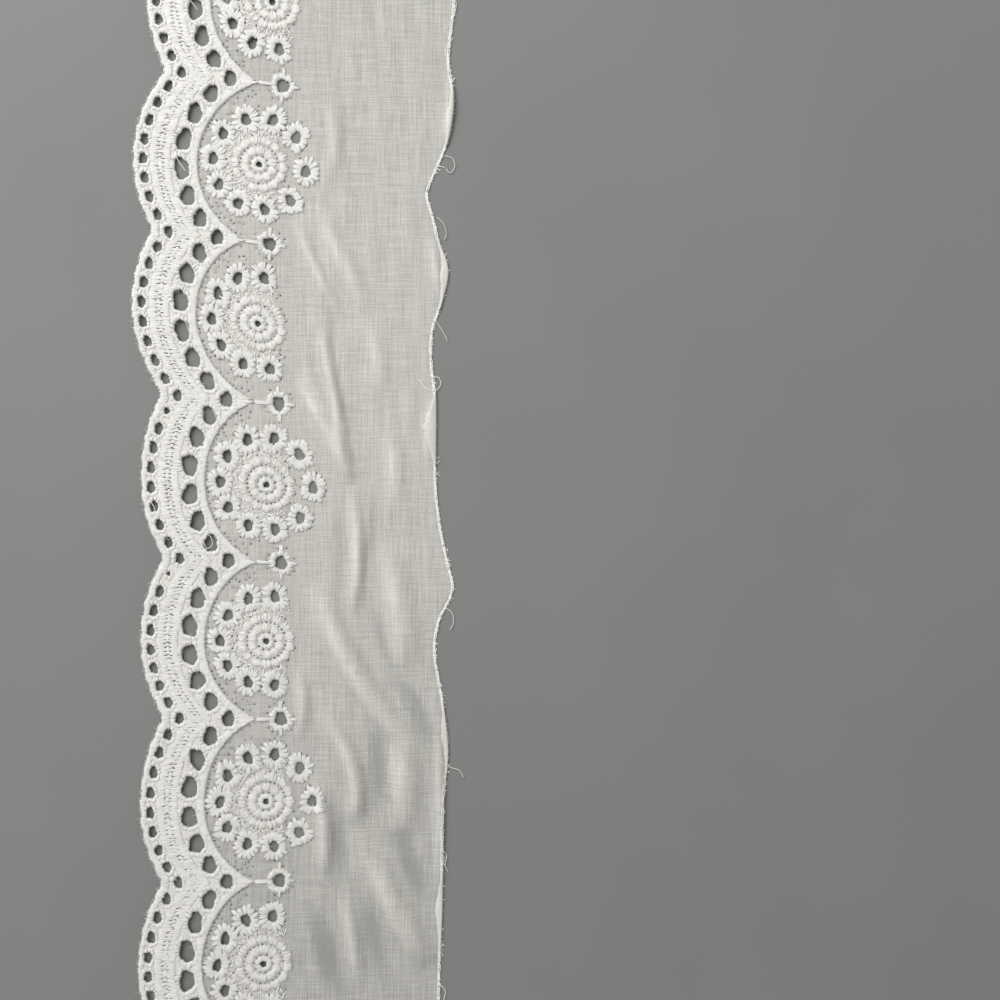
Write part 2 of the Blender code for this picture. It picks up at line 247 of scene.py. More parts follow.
def swell(places):
    """How far the folds raise the cloth, and their painted shading: 1 for painted light on a crest,
    -1 for painted shade in a trough.
    """
    raised = np.zeros(places.shape[:-1])
    painted_fold_shading = np.zeros(places.shape[:-1])
    for fold in FOLDS:
        nearest = np.full(places.shape[:-1], 1e9)
        along = np.zeros(places.shape[:-1])
        for step in range(FOLD_STEPS):
            start = fold_centre(fold, step / FOLD_STEPS)
            run = fold_centre(fold, (step + 1) / FOLD_STEPS) - start
            share = np.clip(((places - start) @ run) / (run @ run), 0.0, 1.0)
            gap = np.linalg.norm(places - start - share[..., None] * run, axis=-1)
            closer = gap < nearest
            nearest = np.where(closer, gap, nearest)
            along = np.where(closer, (step + share) / FOLD_STEPS, along)
        side = np.minimum(nearest / fold[7], 1.0)
        form = np.sin(np.pi * along) * (1 + np.cos(np.pi * side)) / 2
        raised = raised + max(fold[6], 0.0) * form
        # painted light along each crest and painted shade along each trough
        painted_fold_shading = painted_fold_shading + math.copysign(abs(fold[6]) ** 0.5, fold[6]) * form**1.5
    # and, with no change of shape, whiter about one place along the strip and greyer towards both
    # ends
    slow = LENGTHWISE_TONE * np.cos(np.pi * (places[..., 1] - WHITEST_AT) / LENGTHWISE_REACH)
    return FOLD_LIFT * raised, np.clip(painted_fold_shading, -1, 1) + slow


def lift(places):
    """How far the cloth's underside stands off the surface at places on it."""
    x, y = places[..., 0], places[..., 1]
    roll = 1 + BAND_ROLL * np.sin(0.13 * y + 0.5) * np.cos(0.05 * y + 0.06 * x)
    band = BAND_RISE * roll * np.clip((BAND_FOOT - x) / BAND_SLOPE, 0, 1)
    ripple = 2 + np.sin(0.9 * x + 0.11 * y) + np.sin(0.53 * x - 0.07 * y + np.sin(0.05 * y))
    grown = np.clip((x - RIPPLE_FOOT) / RIPPLE_RUN, 0, 1)
    from_edge = np.clip((between(RAW_EDGE, y, 1) - x) / EDGE_RUN, EDGE_SHARE, 1)
    return REST_HEIGHT + swell(places)[0] + band + RIPPLE * ripple * grown * from_edge


Eyelet = namedtuple("Eyelet", "kind middle half turn phases")


def eyelet(kind, across, along, size, turn):
    """One eyelet: its kind, middle, half sizes, turn and the phases of its unevenness."""
    number = across + 3 * along
    phases = (math.pi * uneven(number), math.pi * uneven(number + 1))
    return Eyelet(kind, np.array((across, along)), np.array(size) / 2, math.radians(turn), phases)


def rim(hole, angles, grow=0.0):
    """Places round an eyelet's edge, in the pattern, moved outwards by grow."""
    wave = 1.0
    for count, height, first, second in LOBES:
        phase = first * hole.phases[0] + second * hole.phases[1]
        wave = wave + height * np.sin(count * angles + phase)
    c, s = np.cos(angles), np.sin(angles)
    x = (hole.half[0] * wave + grow) * np.sign(c) * np.abs(c) ** SIDE_POWER
    y = (hole.half[1] * wave + grow) * np.sign(s) * np.abs(s) ** SIDE_POWER
    c, s = math.cos(hole.turn), math.sin(hole.turn)
    return hole.middle + np.stack((x * c - y * s, x * s + y * c), axis=-1)


def petal_angles(index):
    return NEAR_PETALS + (FAR_PETALS if index % 2 == 0 else ())


def all_eyelets():
    """Every eyelet of the strip, in the pattern."""
    made = []
    large_half = half_angle(LARGE_ROW[0])
    small_half = half_angle(SMALL_ROW[0])
    for index in SCALLOPS:
        shift = flower(index)
        for angle in LARGE_ANGLES:
            share = math.cos(math.radians(90 * angle / large_half))
            size = [v + (m - v) * share for v, m in zip(VALLEY_EYELET, LARGE_EYELET)]
            place = arc(*LARGE_ROW, angle, index)
            turn = EYELET_TURN * uneven(float(place[1]))
            made.append(eyelet("large", *place, size, turn))
        for step in range(1, SMALL_STEPS):
            angle = -small_half + 2 * small_half * step / SMALL_STEPS
            place = arc(*SMALL_ROW, angle, index)
            size = np.array(SMALL_EYELET) * NEARLY_CLOSED.get((index, step), 1.0)
            made.append(eyelet("small", *place, size, SMALL_LEAN * angle))
        made.append(eyelet("rosette", *shift, ROSETTE_EYELET, 0.0))
        for angle in petal_angles(index):
            place = shift + PETAL_RING * np.array(
                (math.cos(math.radians(angle)), math.sin(math.radians(angle)))
            )
            turn = PETAL_TURN * uneven(float(place[1]))
            made.append(eyelet("petal", *place, PETAL_EYELET, turn))
    for index in VALLEYS:
        along = index * PITCH
        large = arc(*LARGE_ROW, large_half)[0]
        small = arc(*SMALL_ROW, small_half)[0]
        made.append(eyelet("valley", large, along, VALLEY_EYELET, 0.0))
        made.append(eyelet("small", small, along, SMALL_EYELET, 0.0))
        made.append(eyelet("connector", CONNECTOR_ACROSS, along, CONNECTOR_EYELET, 0.0))
    return made


EYELETS = all_eyelets()


def ladder(index, share, t):
    """A place in one scallop's ladder: share runs from outer to inner arc, t from -1 to 1."""
    outer = arc(*LADDER_OUTER, t * half_angle(LADDER_OUTER[0]))
    inner = arc(*LADDER_INNER, t * half_angle(LADDER_INNER[0]))
    share = np.asarray(share)[..., None]
    return outer * (1 - share) + inner * share + flower(index)


def ladder_rows(index):
    """One scallop's rows of ladder stitches: where each lies, and its slits."""
    chance = np.random.default_rng(1000 + index)
    rows = []
    for row in range(LADDER_ROWS):
        t = (row + 0.5) / LADDER_ROWS * 2 - 1
        middles, likely = SLITS[row % len(SLITS)]
        slits = []
        for middle in middles:
            middle = middle + chance.uniform(-SLIT_STRAY, SLIT_STRAY)
            half = chance.uniform(*SLIT_HALF_LENGTH)
            if chance.random() < likely and abs(t) < SLIT_REACH:
                slits.append((middle, half))
        rows.append((t + chance.normal(0, ROW_STRAY), slits))
    return rows


def open_slits():
    """The slits left open in the ladder, each a six-cornered outline."""
    made = []
    for index in SCALLOPS:
        for t, slits in ladder_rows(index):
            for middle, half in slits:
                ends = ladder(index, np.array((middle - half, middle + half)), t)
                run = ends[1] - ends[0]
                side = np.array((-run[1], run[0])) / np.linalg.norm(run) * SLIT_HALF_HEIGHT
                near, far = (ends[0] + share * run for share in SLIT_SHOULDERS)
                made.append((ends[0], near - side, far - side, ends[1], far + side, near + side))
    return [np.array(corners) for corners in made]


def satin_inner(degrees):
    """The radius of the satin's inner edge, which is wider in the middle of a scallop."""
    bulge = np.cos(np.radians(90 * np.clip(np.abs(degrees) / SATIN_REACH, 0, 1)))
    return SATIN_RADIUS - SATIN_BULGE * bulge


def leaf_turn(index, ring, leaf):
    """The direction of one leaf of a rosette: ring 0 is the inner one."""
    return (leaf + 0.5 * uneven(3.0 * index + ring)) / LEAVES[ring] * math.tau


def round_places(middle, radius, turns):
    return middle + radius * np.stack((np.cos(turns), np.sin(turns)), axis=-1)


# Needle pricks. A loose ring round each rosette, a row at the satin's foot (its reach and step
# in degrees, its distance), one ring at the tips of the rays, and the two strewn fields of the
# ground: about the rosette, and from the satin's foot inwards.
PRICK_RING = 9.9
RING_PRICKS = 14
FOOT_REACH = 60.0
FOOT_STEP = 2.9
FOOT_GAP = 0.45
TIP_GAP = 2.75
FIELD_PRICKS = 110
FIELD_RING = (10.0, 13.6)
FIELD_TURNS = (50.0, 310.0)
BESIDE_PRICKS = 95
BESIDE_REACH = 64.0
BESIDE_GAP = 0.6


def needle_places(chance):
    """Where the needle left open pricks in the cloth, in the pattern."""
    places = []
    for index in SCALLOPS:
        middle = flower(index)
        for ring, radius in enumerate(LEAF_FEET):
            between_leaves = leaf_turn(index, ring, np.arange(0.5, LEAVES[ring], 0.5))
            places += list(round_places(middle, radius, between_leaves))
        turns = chance.uniform(0, math.tau, RING_PRICKS)
        places += list(round_places(middle, PRICK_RING, turns))
        angles = np.arange(-FOOT_REACH, FOOT_REACH, FOOT_STEP)
        foot = arc(satin_inner(angles) - FOOT_GAP, LARGE_ROW[1], angles, index)
        places += list((foot + chance.normal(0, 0.12, foot.shape))[chance.random(len(foot)) < 0.7])
    for hole in EYELETS:
        if hole.kind in ("petal", "connector"):
            turns = np.arange(RING_PRICKS) / RING_PRICKS * math.tau + chance.uniform(0, 1)
            tips = rim(hole, turns, TIP_GAP) + chance.normal(0, 0.15, (RING_PRICKS, 2))
            places += list(tips[chance.random(RING_PRICKS) < 0.6])
    for index in SCALLOPS:
        middle = flower(index)
        turns = chance.uniform(*np.radians(FIELD_TURNS), FIELD_PRICKS)
        reach = chance.uniform(*FIELD_RING, FIELD_PRICKS)[:, None]
        places += list(round_places(middle, reach, turns))
        angles = chance.uniform(-BESIDE_REACH, BESIDE_REACH, BESIDE_PRICKS)
        reach = satin_inner(angles) - BESIDE_GAP - chance.gamma(1.2, 2.4, BESIDE_PRICKS)
        places += list(arc(reach, LARGE_ROW[1], angles, index))
    return places


# The cloth's outline: how far the stitches of the scallops reach beyond it, its corners in one
# scallop, the lean and corners of its two cut ends, and the step and raggedness of its torn
# side, which lies a little inside the line of the raw edge.
EDGE_INSET = 0.45
SCALLOP_CORNERS = 76
CUT_LEAN = 0.04
CUT_CORNERS = 60
RAGGED_STEP = 0.62
RAGGED = 0.16
RAGGED_WAVE = 0.3
RAGGED_INSET = 0.25


def outline():
    """The cloth's outline on the surface: scallops, cut end, raw edge, cut end."""
    scallops = []
    reach = half_angle(EDGE[0])
    for index in SCALLOPS:
        degrees = np.linspace(-reach, reach, SCALLOP_CORNERS)
        scallops.append(arc(EDGE[0] - EDGE_INSET, EDGE[1], degrees, index))
    left = lie(np.concatenate(scallops))
    ends = []
    for corner in (left[-1], left[0]):
        x = between(RAW_EDGE, corner[1], 1)
        ends.append(np.array((x, corner[1] - CUT_LEAN * (x - corner[0]))))
    y = np.arange(ends[0][1], ends[1][1], -RAGGED_STEP)
    chance = np.random.default_rng(11)
    wave = RAGGED_WAVE * np.sin(y * 0.9) * np.sin(y * 0.37)
    ragged = chance.normal(0, RAGGED, len(y)) + wave - RAGGED_INSET
    right = np.stack((between(RAW_EDGE, y, 1) + ragged, y), axis=-1)
    share = np.linspace(0, 1, CUT_CORNERS)[1:-1, None]
    top = left[-1] * (1 - share) + ends[0] * share
    bottom = ends[1] * (1 - share) + left[0] * share
    return np.concatenate((left, top, right, ends[1][None], bottom))


def inside(places, corners):
    """Which of the places lie inside a closed outline."""
    hit = np.zeros(len(places), bool)
    for (ax, ay), (bx, by) in zip(corners, np.roll(corners, -1, axis=0)):
        level = (ay > places[:, 1]) != (by > places[:, 1])
        if level.any():
            x = ax + (places[:, 1] - ay) * (bx - ax) / (by - ay if by != ay else 1e-9)
            hit ^= level & (places[:, 0] < x)
    return hit


# What stitching does to the cloth: the band's step, how far the running stitches reach about
# a rosette and towards the plain side and how much they close the ground, and for each worked
# form its reach, the softness of its edge and how much it closes the cloth.
BAND_STEP = (0.1, 0.5)
WORKED_REACH = 14.0
WORKED_SIDE = 6.5
WORKED_SOFT = 1.5
WORKED_COVER = 0.52
WORKED_FORMS = {"rosette": (9.4, 1.2, 0.62), "petal": (4.4, 1.6, 0.8), "connector": (4.4, 1.6, 0.8)}
FORM_THICKNESS = 0.4


def build_up(pattern):
    """How far stitching covers and thickens the cloth, from 0 where it is plain to 1."""
    across, along = pattern[:, 0], pattern[:, 1]
    near = np.clip(np.round(along / PITCH), SCALLOPS[0], SCALLOPS[-1])
    from_middle = along - near * PITCH
    from_arc = np.hypot(across - LARGE_ROW[1], from_middle)
    degrees = np.degrees(np.arctan2(from_middle, LARGE_ROW[1] - across))
    beyond = from_arc - satin_inner(degrees) - BAND_STEP[0]
    thick = np.clip(beyond / BAND_STEP[1], 0, 1) * (across < 0)
    worked = np.clip((WORKED_REACH - np.hypot(across, from_middle)) / WORKED_SOFT, 0, 1)
    worked = worked * np.clip((WORKED_SIDE - across) / WORKED_SOFT, 0, 1)
    covered = np.maximum(thick, WORKED_COVER * worked)
    for hole in EYELETS:
        if hole.kind in WORKED_FORMS:
            reach, soft, cover = WORKED_FORMS[hole.kind]
            gap = np.hypot(across - hole.middle[0], along - hole.middle[1])
            form = np.clip((reach - gap) / soft, 0, 1)
            covered = np.maximum(covered, cover * form)
            thick = np.maximum(thick, FORM_THICKNESS * form)
    return covered, thick


# The cloth's holes: corners of each kind, how far the cut edge lies behind the stitches, and
# the room kept free round an eyelet, a slit, a prick and the outline. Pricks are five-cornered,
# so large, and stand so far apart.
CORNERS = {"large": 26, "valley": 22, "rosette": 12, "small": 18, "petal": 18, "connector": 18}
CUT_BEHIND = 0.12
EYELET_ROOM = 0.3
SLIT_ROOM = 0.9
EDGE_ROOM = 0.25
PRICK_CORNERS = 5
PRICK_RADIUS = (0.2, 0.38)
PRICK_ROOM = 0.3
PRICK_APART = 1.25
# The corners of the plain cloth: rows from, to and how far apart, how far each strays, the
# steps in degrees along the satin's inner edge and its step's two sides.
CLOTH_ROWS = ((-45.0, 9.0, 1.5), (9.0, 68.0, 1.3))
CLOTH_REACH = 200.0
CORNER_STRAY = 0.2
CORNER_ROOM = 0.28
SATIN_STEP = 2.6
SATIN_SIDES = (0.1, 0.6)


def hole_loops(edge, chance):
    """The outline of every hole in the cloth, and its middle and reach as (x, y, radius)."""
    loops, taken, pricks = [], [], []
    for hole in EYELETS:
        turns = (np.arange(CORNERS[hole.kind]) + 0.5) / CORNERS[hole.kind] * math.tau
        loops.append(lie(rim(hole, turns, CUT_BEHIND)))
        taken.append((*lie(hole.middle), hole.half.max() + EYELET_ROOM))
    for corners in open_slits():
        loops.append(lie(corners))
        taken.append((*lie(corners).mean(axis=0), SLIT_ROOM))
    taken = np.array(taken)
    pricked = lie(np.array(needle_places(chance)))
    for place in pricked[inside(pricked, edge)]:
        radius = chance.uniform(*PRICK_RADIUS)
        if (np.hypot(*(taken[:, :2] - place).T) < taken[:, 2] + radius + PRICK_ROOM).any():
            continue
        if pricks and (np.hypot(*(np.array(pricks)[:, :2] - place).T) < PRICK_APART).any():
            continue
        pricks.append((*place, radius))
        turns = np.arange(PRICK_CORNERS) / PRICK_CORNERS * math.tau + chance.uniform(0, 1)
        loops.append(round_places(place, radius, turns))
    return loops, np.concatenate((taken, pricks))


def plain_corners(edge, taken, chance):
    """The corners of the cloth between its holes, where they lie on the surface."""
    rows = []
    for start, end, step in CLOTH_ROWS:
        count = round((end - start) / step)
        for number, along in enumerate(np.arange(-CLOTH_REACH, CLOTH_REACH, step)):
            across = start + (np.arange(count) + 0.5 * (number % 2)) * step
            rows.append(np.stack((across, np.full(count, along)), axis=-1))
    free = np.concatenate(rows)
    free = [free + chance.uniform(-CORNER_STRAY, CORNER_STRAY, free.shape)]
    steps = np.arange(-SATIN_REACH, SATIN_REACH, SATIN_STEP)
    for index in SCALLOPS:
        for more in SATIN_SIDES:
            free.append(arc(satin_inner(steps) + more, LARGE_ROW[1], steps, index))
    for fold in FOLDS:
        steps = np.linspace(0.05, 0.95, round(math.dist(fold[:2], fold[4:6])))
        free.append(unlie(np.stack([fold_centre(fold, t) for t in steps])))
    lain = lie(np.concatenate(free))
    lain = lain[inside(lain, edge)]
    good = np.ones(len(lain), bool)
    order = np.argsort(lain[:, 1])
    sorted_y = lain[order, 1]
    for x, y, radius in np.concatenate((taken, np.insert(edge, 2, EDGE_ROOM, axis=1))):
        reach = radius + CORNER_ROOM
        low, high = np.searchsorted(sorted_y, (y - reach, y + reach))
        close = order[low:high]
        good[close[np.hypot(lain[close, 0] - x, lain[close, 1] - y) < reach]] = False
    return lain[good]


def cloth():
    """The underside of the cloth on the surface: its corners and its triangles."""
    chance = np.random.default_rng(5)
    edge = outline()
    loops, taken = hole_loops(edge, chance)
    loops = [edge] + loops
    points = np.concatenate(loops + [plain_corners(edge, taken, chance)])
    starts = np.cumsum([0] + [len(loop) for loop in loops])
    edges = []
    for start, end in zip(starts[:-1], starts[1:]):
        edges += [(k, k + 1 if k + 1 < end else start) for k in range(start, end)]
    edges = [(int(a), int(b)) for a, b in edges]
    found = delaunay_2d_cdt([tuple(point) for point in points.tolist()], edges, [], 1, 1e-7)
    flat = np.array([tuple(point) for point in found[0]])
    first = np.array([origin[0] if origin else -1 for origin in found[3]])
    # A triangle whose three corners are on the same hole spans that hole, and is left out.
    owner = np.full(len(points) + 1, -1)
    for number in range(1, len(loops)):
        owner[starts[number]:starts[number + 1]] = number
    triangles = np.array(found[2])
    owners = owner[first[triangles]]
    through = (owners[:, 0] > 0) & (owners == owners[:, :1]).all(axis=1)
    return flat, triangles[~through]


def unlie(places):
    """Where in the pattern places on the surface come from."""
    pattern = places - (FLOWER_LINE_X, 0.0)
    for _ in range(12):
        pattern = pattern + places - lie(pattern)
    return pattern


def linear(colour):
    """An sRGB hex colour as linear red, green, blue and alpha."""
    parts = [int(colour[k:k + 2], 16) / 255 for k in (1, 3, 5)]
    return [v / 12.92 if v <= 0.04045 else ((v + 0.055) / 1.055) ** 2.4 for v in parts] + [1.0]


def new_material(name, roughness, specular):
    """A material with its node tree and its shader."""
    made = bpy.data.materials.new(name)
    made.use_nodes = True
    shader = made.node_tree.nodes["Principled BSDF"]
    shader.inputs["Roughness"].default_value = roughness
    shader.inputs["Specular IOR Level"].default_value = specular
    return made, made.node_tree, shader


def add_node(tree, kind, inputs=None, **settings):
    """Adds a node, sets or links its inputs, and gives it its settings."""
    made = tree.nodes.new("ShaderNode" + kind)
    for name, value in settings.items():
        setattr(made, name, value)
    for socket, value in (inputs or {}).items():
        if isinstance(value, bpy.types.NodeSocket):
            tree.links.new(value, made.inputs[socket])
        else:
            made.inputs[socket].default_value = value
    return made


def add_object(name, data):
    """Puts a mesh, a light or a camera into the scene."""
    made = bpy.data.objects.new(name, data)
    bpy.context.scene.collection.objects.link(made)
    return made


# Bleached cotton lawn: matt, with a faint grid of uneven threads and thicker slubs that run
# both ways, and sheer enough that the surface under it greys it. Real lawn has about 32
# threads a centimetre, a pitch of 0.31 mm; it is drawn at 0.78 mm so that it shows.
WEAVE_PITCH = 0.78
# The threads stray by up to half a millimetre, over about four.
STRAYS_PER_METRE = 260.0
STRAY = 0.0011
# Slubs to a metre: 0.6 mm thick, they swell for 17 mm up the strip and for 14 mm across it.
SLUBS = ((1700.0, 60.0, 1.0), (70.0, 1700.0, 1.0))
CROSS_SLUBS = (0.85, 0.07)
WEAVE_SHARE = 0.42
# The grain from its thinnest to its fullest threads, and how closed the cloth looks at both.
GRAIN = (0.52, 1.48)
COVER = (0.22, 0.72)
# What the drawn ground and the painted light and shade of the folds add to that, and how closed it
# looks under stitching.
DRAWN_COVER = -0.01
PAINTED_FOLD_SHADING_COVER = 0.24
STITCHED_COVER = 0.97
lawn, tree, shader = new_material("bleached_cotton_lawn", 0.88, 0.25)
shader.inputs["Sheen Weight"].default_value = 0.15
where = add_node(tree, "TexCoord").outputs["Object"]
# Marks on the cloth: stitched cover, drawn ground, and the folds' painted light and shade.
marks = {
    name: add_node(tree, "Attribute", attribute_name=name).outputs["Fac"]
    for name in ("covered", "drawn", "painted_fold_shading")
}
clouds = add_node(
    tree, "TexNoise", {"Vector": where, "Scale": STRAYS_PER_METRE, "Detail": 2.0}
).outputs["Color"]
centred = add_node(
    tree, "VectorMath", {0: clouds, 1: (0.5, 0.5, 0.5)}, operation="SUBTRACT"
).outputs[0]
drift = add_node(
    tree, "VectorMath", {0: centred, "Scale": STRAY}, operation="SCALE"
).outputs[0]
warped = add_node(tree, "VectorMath", {0: where, 1: drift}, operation="ADD").outputs[0]
parted = add_node(tree, "SeparateXYZ", {0: warped}).outputs
ribs = []
for axis in ("X", "Y"):
    turns = {0: parted[axis], 1: math.tau / (WEAVE_PITCH * MM)}
    phase = add_node(tree, "Math", turns, operation="MULTIPLY").outputs[0]
    ribs.append(add_node(tree, "Math", {0: phase}, operation="SINE").outputs[0])
weave = add_node(tree, "Math", {0: ribs[0], 1: ribs[1]}, operation="MULTIPLY").outputs[0]
streaks = []
for scale in SLUBS:
    stretched = add_node(tree, "Mapping", {"Vector": where, "Scale": scale}).outputs[0]
    uneven_threads = {"Vector": stretched, "Scale": 1.0, "Detail": 4.0, "Roughness": 0.78}
    streaks.append(add_node(tree, "TexNoise", uneven_threads).outputs["Fac"])
weaker = add_node(
    tree, "Math", {0: streaks[1], 1: CROSS_SLUBS[0], 2: CROSS_SLUBS[1]}, operation="MULTIPLY_ADD"
).outputs[0]
slubs = add_node(tree, "Math", {0: streaks[0], 1: weaker}, operation="ADD").outputs[0]
grain = add_node(
    tree, "Math", {0: weave, 1: WEAVE_SHARE, 2: slubs}, operation="MULTIPLY_ADD"
).outputs[0]
tone, cover = (
    add_node(
        tree, "MapRange",
        {0: grain, "From Min": GRAIN[0], "From Max": GRAIN[1], "To Min": low, "To Max": high},
    ).outputs[0]
    for low, high in ((0.0, 1.0), COVER)
)
colours = add_node(tree, "ValToRGB", {0: tone})
colours.color_ramp.elements[0].color = linear("#CAC8C2")
colours.color_ramp.elements[1].color = linear("#F0EEE8")
tree.links.new(colours.outputs[0], shader.inputs["Base Color"])
# Among the flowers the threads are drawn apart, so the ground is a touch greyer there. The folds'
# light and shade are painted here too: on a crest the cloth is made more closed, so whiter, and in
# a trough more open, so that the grey surface shows more.
for mark, share in (("drawn", DRAWN_COVER), ("painted_fold_shading", PAINTED_FOLD_SHADING_COVER)):
    cover = add_node(
        tree, "Math", {0: marks[mark], 1: share, 2: cover}, operation="MULTIPLY_ADD"
    ).outputs[0]
cover = add_node(
    tree, "Mix", {0: marks["covered"], 2: cover, 3: STITCHED_COVER}
).outputs[0]
tree.links.new(cover, shader.inputs["Alpha"])
bump = add_node(
    tree, "Bump", {"Height": grain, "Strength": 0.35, "Distance": 0.00012}
).outputs[0]
tree.links.new(bump, shader.inputs["Normal"])

# The drawn ground reaches this far across the pattern and ends softly.
DRAWN_REACH = 7.6
DRAWN_SOFT = 0.8
flat, triangles = cloth()
height = lift(flat)
trim = bpy.data.meshes.new("cotton_lawn")
trim.from_pydata(
    np.column_stack((flat - BOX_MIDDLE, height)) * MM, [], triangles, shade_flat=False
)
pattern = unlie(flat)
covered_share, thick_share = build_up(pattern)
drawn_share = np.clip((DRAWN_REACH - pattern[:, 0]) / DRAWN_SOFT, 0, 1)
# The folds' painted light and shade goes onto the cloth as a mark of its own.
for name, values in (
    ("covered", covered_share), ("drawn", drawn_share), ("painted_fold_shading", swell(flat)[1])
):
    trim.attributes.new(name, "FLOAT", "POINT").data.foreach_set("value", values)
trim.materials.append(lawn)
cotton_lawn = add_object("cotton_lawn", trim)
thickness = LAWN_THICKNESS + (BAND_THICKNESS - LAWN_THICKNESS) * thick_share
group = cotton_lawn.vertex_groups.new(name="thickness")
for corner, amount in enumerate((thickness / BAND_THICKNESS).tolist()):
    group.add([corner], amount, "REPLACE")
solidify = cotton_lawn.modifiers.new("thickness", "SOLIDIFY")
solidify.thickness = BAND_THICKNESS * MM
solidify.offset = 1.0
solidify.vertex_group = "thickness"
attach(cotton_lawn, "root")
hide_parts("lace_trim")


# The outer edge. Mercerised cotton worked as close satin stitch square to the scallops, so it
# wraps the cut edge of the cloth like a soft white cord.
STITCH_PITCH = 0.42
THREAD_WIDTH = 0.5
SIDES = 4
STITCH_SHARES = np.array((0.0, 0.17, 0.5, 0.83, 1.0))
STITCH_ARCH = np.array((0.0, 0.75, 1.0, 0.75, 0.0))
STITCH_WIDTHS = np.array((0.5, 1.0, 1.08, 1.0, 0.5))
# How far the needle strays at a stitch's start and end, and how far a stitch bends aside.
START_STRAY = 0.07
END_STRAY = 0.11
BEND = 0.05


def sweep(name, paths, half_widths, material, squash=0.4, sides=SIDES):
    """Threads as one mesh: each path is a row of places, in millimetres."""
    count, length = paths.shape[:2]
    ahead = np.gradient(paths, axis=1)
    ahead /= np.linalg.norm(ahead, axis=-1, keepdims=True) + 1e-9
    across = np.cross((0.0, 0.0, 1.0), ahead)
    across /= np.linalg.norm(across, axis=-1, keepdims=True) + 1e-9
    up = np.cross(ahead, across)
    turns = np.arange(sides) / sides * math.tau
    ring = (
        np.cos(turns)[:, None] * across[:, :, None, :]
        + squash * np.sin(turns)[:, None] * up[:, :, None, :]
    )
    corners = paths[:, :, None, :] + half_widths[:, :, None, None] * ring
    corners[..., :2] -= BOX_MIDDLE
    number = np.arange(count * length * sides).reshape(count, length, sides)
    here, there = number[:, :-1], number[:, 1:]
    walls = np.stack((here, np.roll(here, -1, 2), np.roll(there, -1, 2), there), axis=-1)
    caps = np.concatenate((number[:, 0, ::-1], number[:, -1]))
    mesh = bpy.data.meshes.new(name)
    mesh.from_pydata(
        corners.reshape(-1, 3) * MM, [], walls.reshape(-1, 4).tolist() + caps.tolist(),
        shade_flat=False,
    )
    run = np.linalg.norm(np.diff(paths, axis=1), axis=-1)
    run = np.concatenate((np.zeros((count, 1)), np.cumsum(run, axis=1)), axis=1)
    around = np.arange(sides) / sides
    u = np.stack((run[:, :-1], run[:, :-1], run[:, 1:], run[:, 1:]), axis=-1)
    u = np.repeat(u[:, :, None, :], sides, axis=2)
    v = np.stack((around, around + 1 / sides, around + 1 / sides, around), axis=-1)
    v = np.broadcast_to(v, u.shape)
    wound = np.zeros((len(mesh.loops), 2))
    wound[:u.size] = np.stack((u.ravel(), v.ravel()), axis=-1)
    mesh.uv_layers.new(name="wound").data.foreach_set("uv", wound.ravel())
    if sides == SIDES:
        # The two side lines of a flat thread stay sharp, so that its top shades as a low ridge.
        pairs = np.zeros(len(mesh.edges) * 2, dtype=np.int32)
        mesh.edges.foreach_get("vertices", pairs)
        lines = pairs.reshape(-1, 2) % sides
        crisp = (lines[:, 0] == lines[:, 1]) & (lines[:, 0] % 2 == 0)
        mesh.attributes.new("sharp_edge", "BOOLEAN", "EDGE").data.foreach_set("value", crisp)
    shades = np.random.default_rng(count).random(count)
    shade = mesh.attributes.new("shade", "FLOAT", "POINT")
    shade.data.foreach_set("value", np.repeat(shades, length * sides))
    mesh.materials.append(material)
    return add_object(name, mesh)


def stitched(name, starts, ends, feet, top, width=THREAD_WIDTH, seed=1, squash=0.4):
    """Stitches from starts to ends in the pattern, with the heights of their feet and top."""
    chance = np.random.default_rng(seed)
    starts, ends = np.array(starts), np.array(ends)
    starts = lie(starts + chance.normal(0, START_STRAY, starts.shape))
    ends = lie(ends + chance.normal(0, END_STRAY, ends.shape))
    shares = STITCH_SHARES[None, :, None]
    flat_path = starts[:, None] * (1 - shares) + ends[:, None] * shares
    bent = chance.normal(0, BEND, (len(starts), 1, 2)) * STITCH_ARCH[None, :, None]
    flat_path = flat_path + bent
    foot = feet[0] * (1 - STITCH_SHARES) + feet[1] * STITCH_SHARES
    high = np.asarray(top) * chance.uniform(0.93, 1.07, len(starts))
    rise = foot * (1 - STITCH_ARCH) + high[:, None] * STITCH_ARCH
    paths = np.concatenate((flat_path, (lift(flat_path) + rise)[..., None]), axis=-1)
    wide = width / 2 * chance.uniform(0.85, 1.15, (len(starts), 1))
    return sweep(name, paths, wide * STITCH_WIDTHS, cotton_thread, squash)


# Mercerised embroidery cotton: bright white with a soft silky shine along each stitch. Its two
# plies turn about once in 0.8 mm, which the bump shows as slanting ridges.
PLY_TURN = 0.8
cotton_thread, tree, shader = new_material("mercerised_cotton_thread", 0.6, 0.35)
wound = add_node(tree, "UVMap", uv_map="wound").outputs[0]
parted = add_node(tree, "SeparateXYZ", {0: wound}).outputs
lengthwise = add_node(
    tree, "Math", {0: parted["X"], 1: math.tau / PLY_TURN}, operation="MULTIPLY"
).outputs[0]
around = add_node(
    tree, "Math", {0: parted["Y"], 1: 2 * math.tau, 2: lengthwise}, operation="MULTIPLY_ADD"
).outputs[0]
plies = add_node(tree, "Math", {0: around}, operation="SINE").outputs[0]
shade = add_node(tree, "Attribute", attribute_name="shade").outputs["Fac"]
fibres = add_node(
    tree, "TexNoise",
    {"Vector": add_node(tree, "TexCoord").outputs["Object"], "Scale": 900.0},
).outputs["Fac"]
mottle = add_node(
    tree, "Math", {0: shade, 1: fibres}, operation="MULTIPLY"
).outputs[0]
colours = add_node(tree, "ValToRGB", {0: mottle})
colours.color_ramp.elements[0].color = linear("#E2DFD8")
